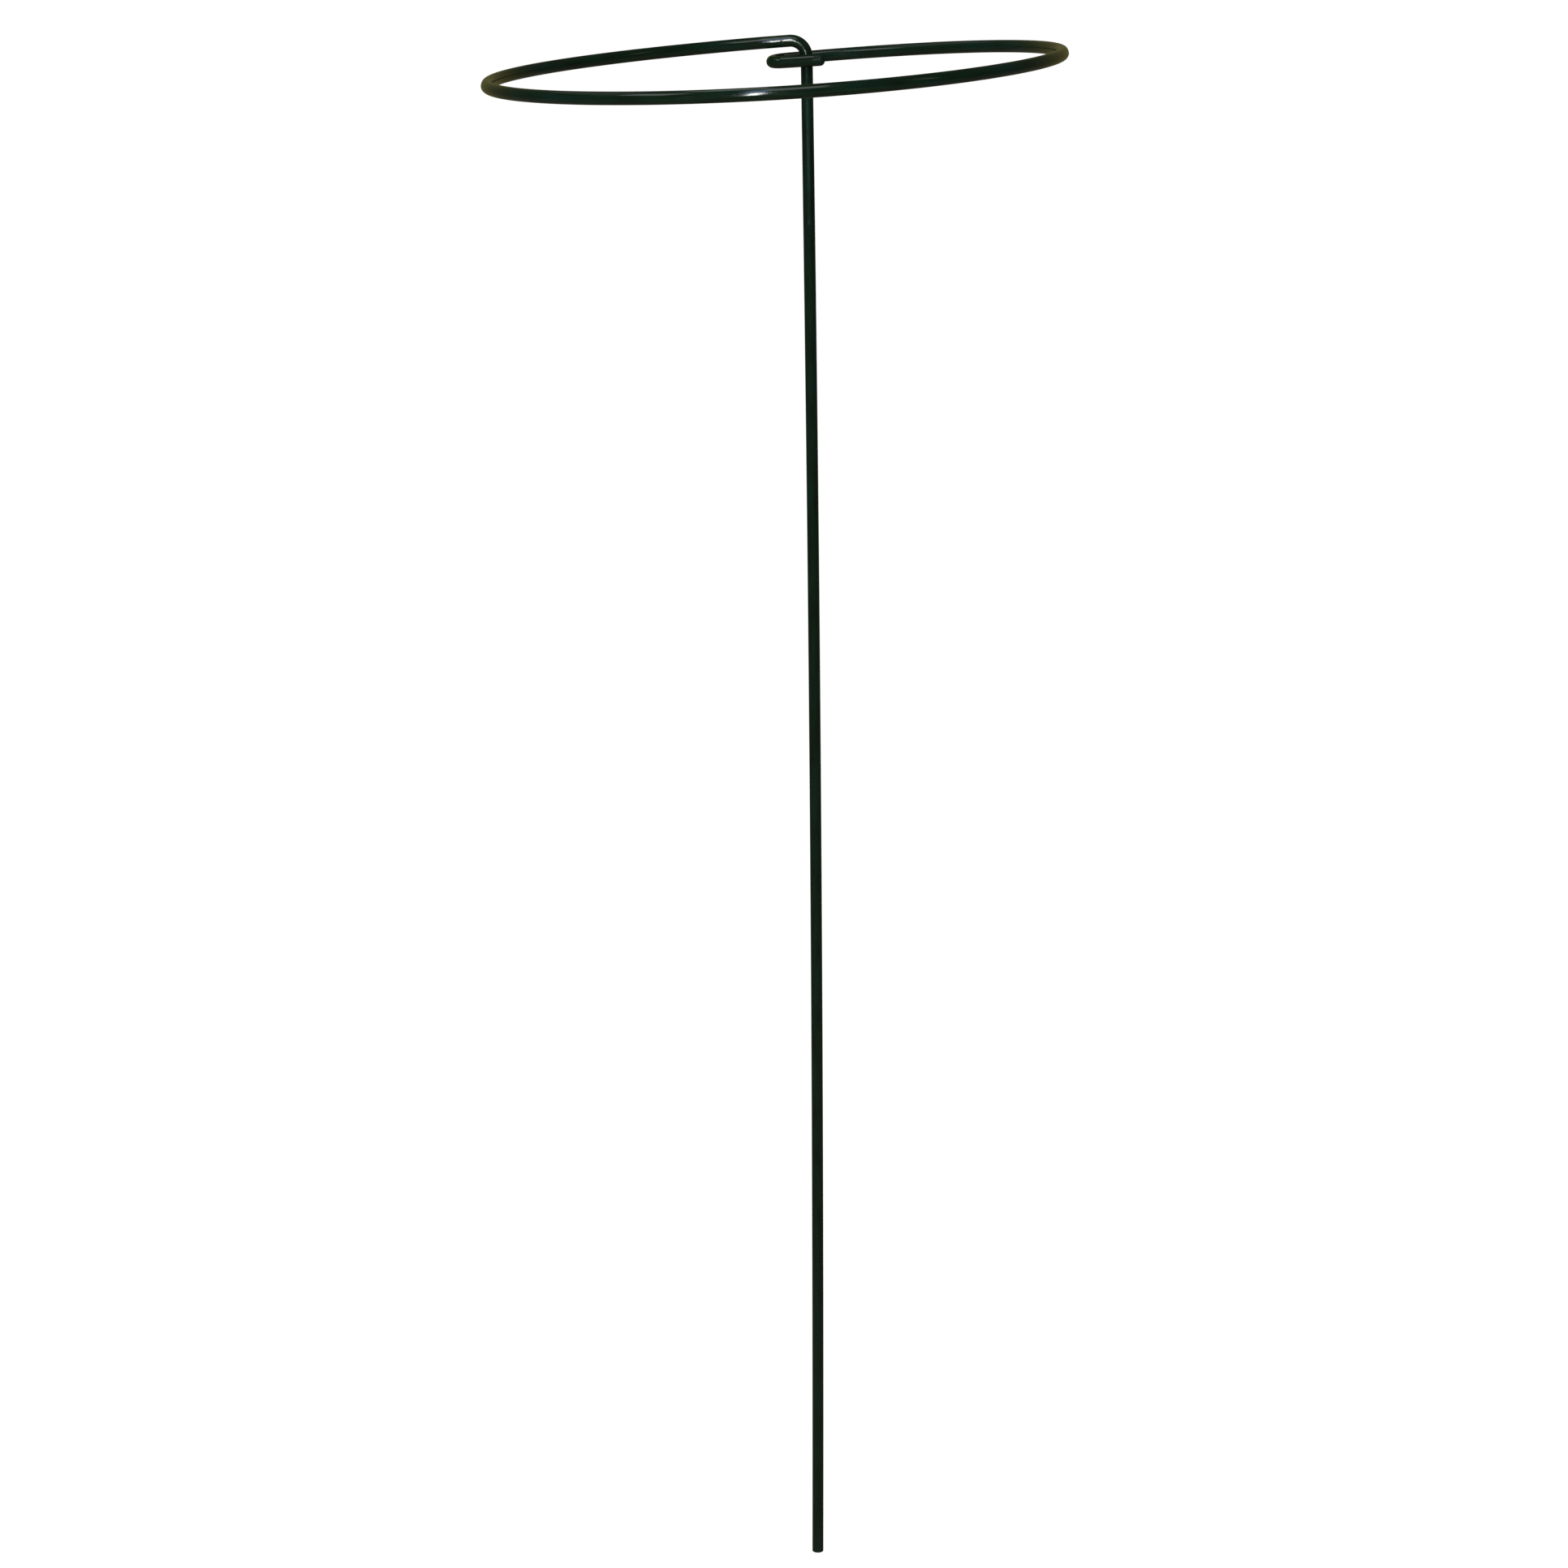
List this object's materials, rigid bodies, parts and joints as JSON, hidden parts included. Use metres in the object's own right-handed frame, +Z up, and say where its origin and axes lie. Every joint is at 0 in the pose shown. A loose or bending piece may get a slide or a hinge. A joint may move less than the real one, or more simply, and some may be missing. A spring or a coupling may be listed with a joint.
{
  "type": "plant support",
  "caption": "Garden stake bent from one coated steel rod, with a large hoop at the top that springs open and hooks shut round the stake.",
  "frame": {"origin": "middle of the stake's square cut tip, which goes into the soil", "axes": "+Z up along the stake; the ring reaches out towards -Y; the rod leaves the top of the stake towards -X and comes back to it from +X"},
  "size_m": [0.2546, 0.2595, 0.7645],
  "materials": {
    "steel_core": "drawn mild steel, cut square at the tip",
    "plastic_coat": "smooth glossy bottle green"
  },
  "bodies": {
    "root": {"steel_core": "steel_core", "plastic_coat": "plastic_coat"}
  },
  "joints": []
}
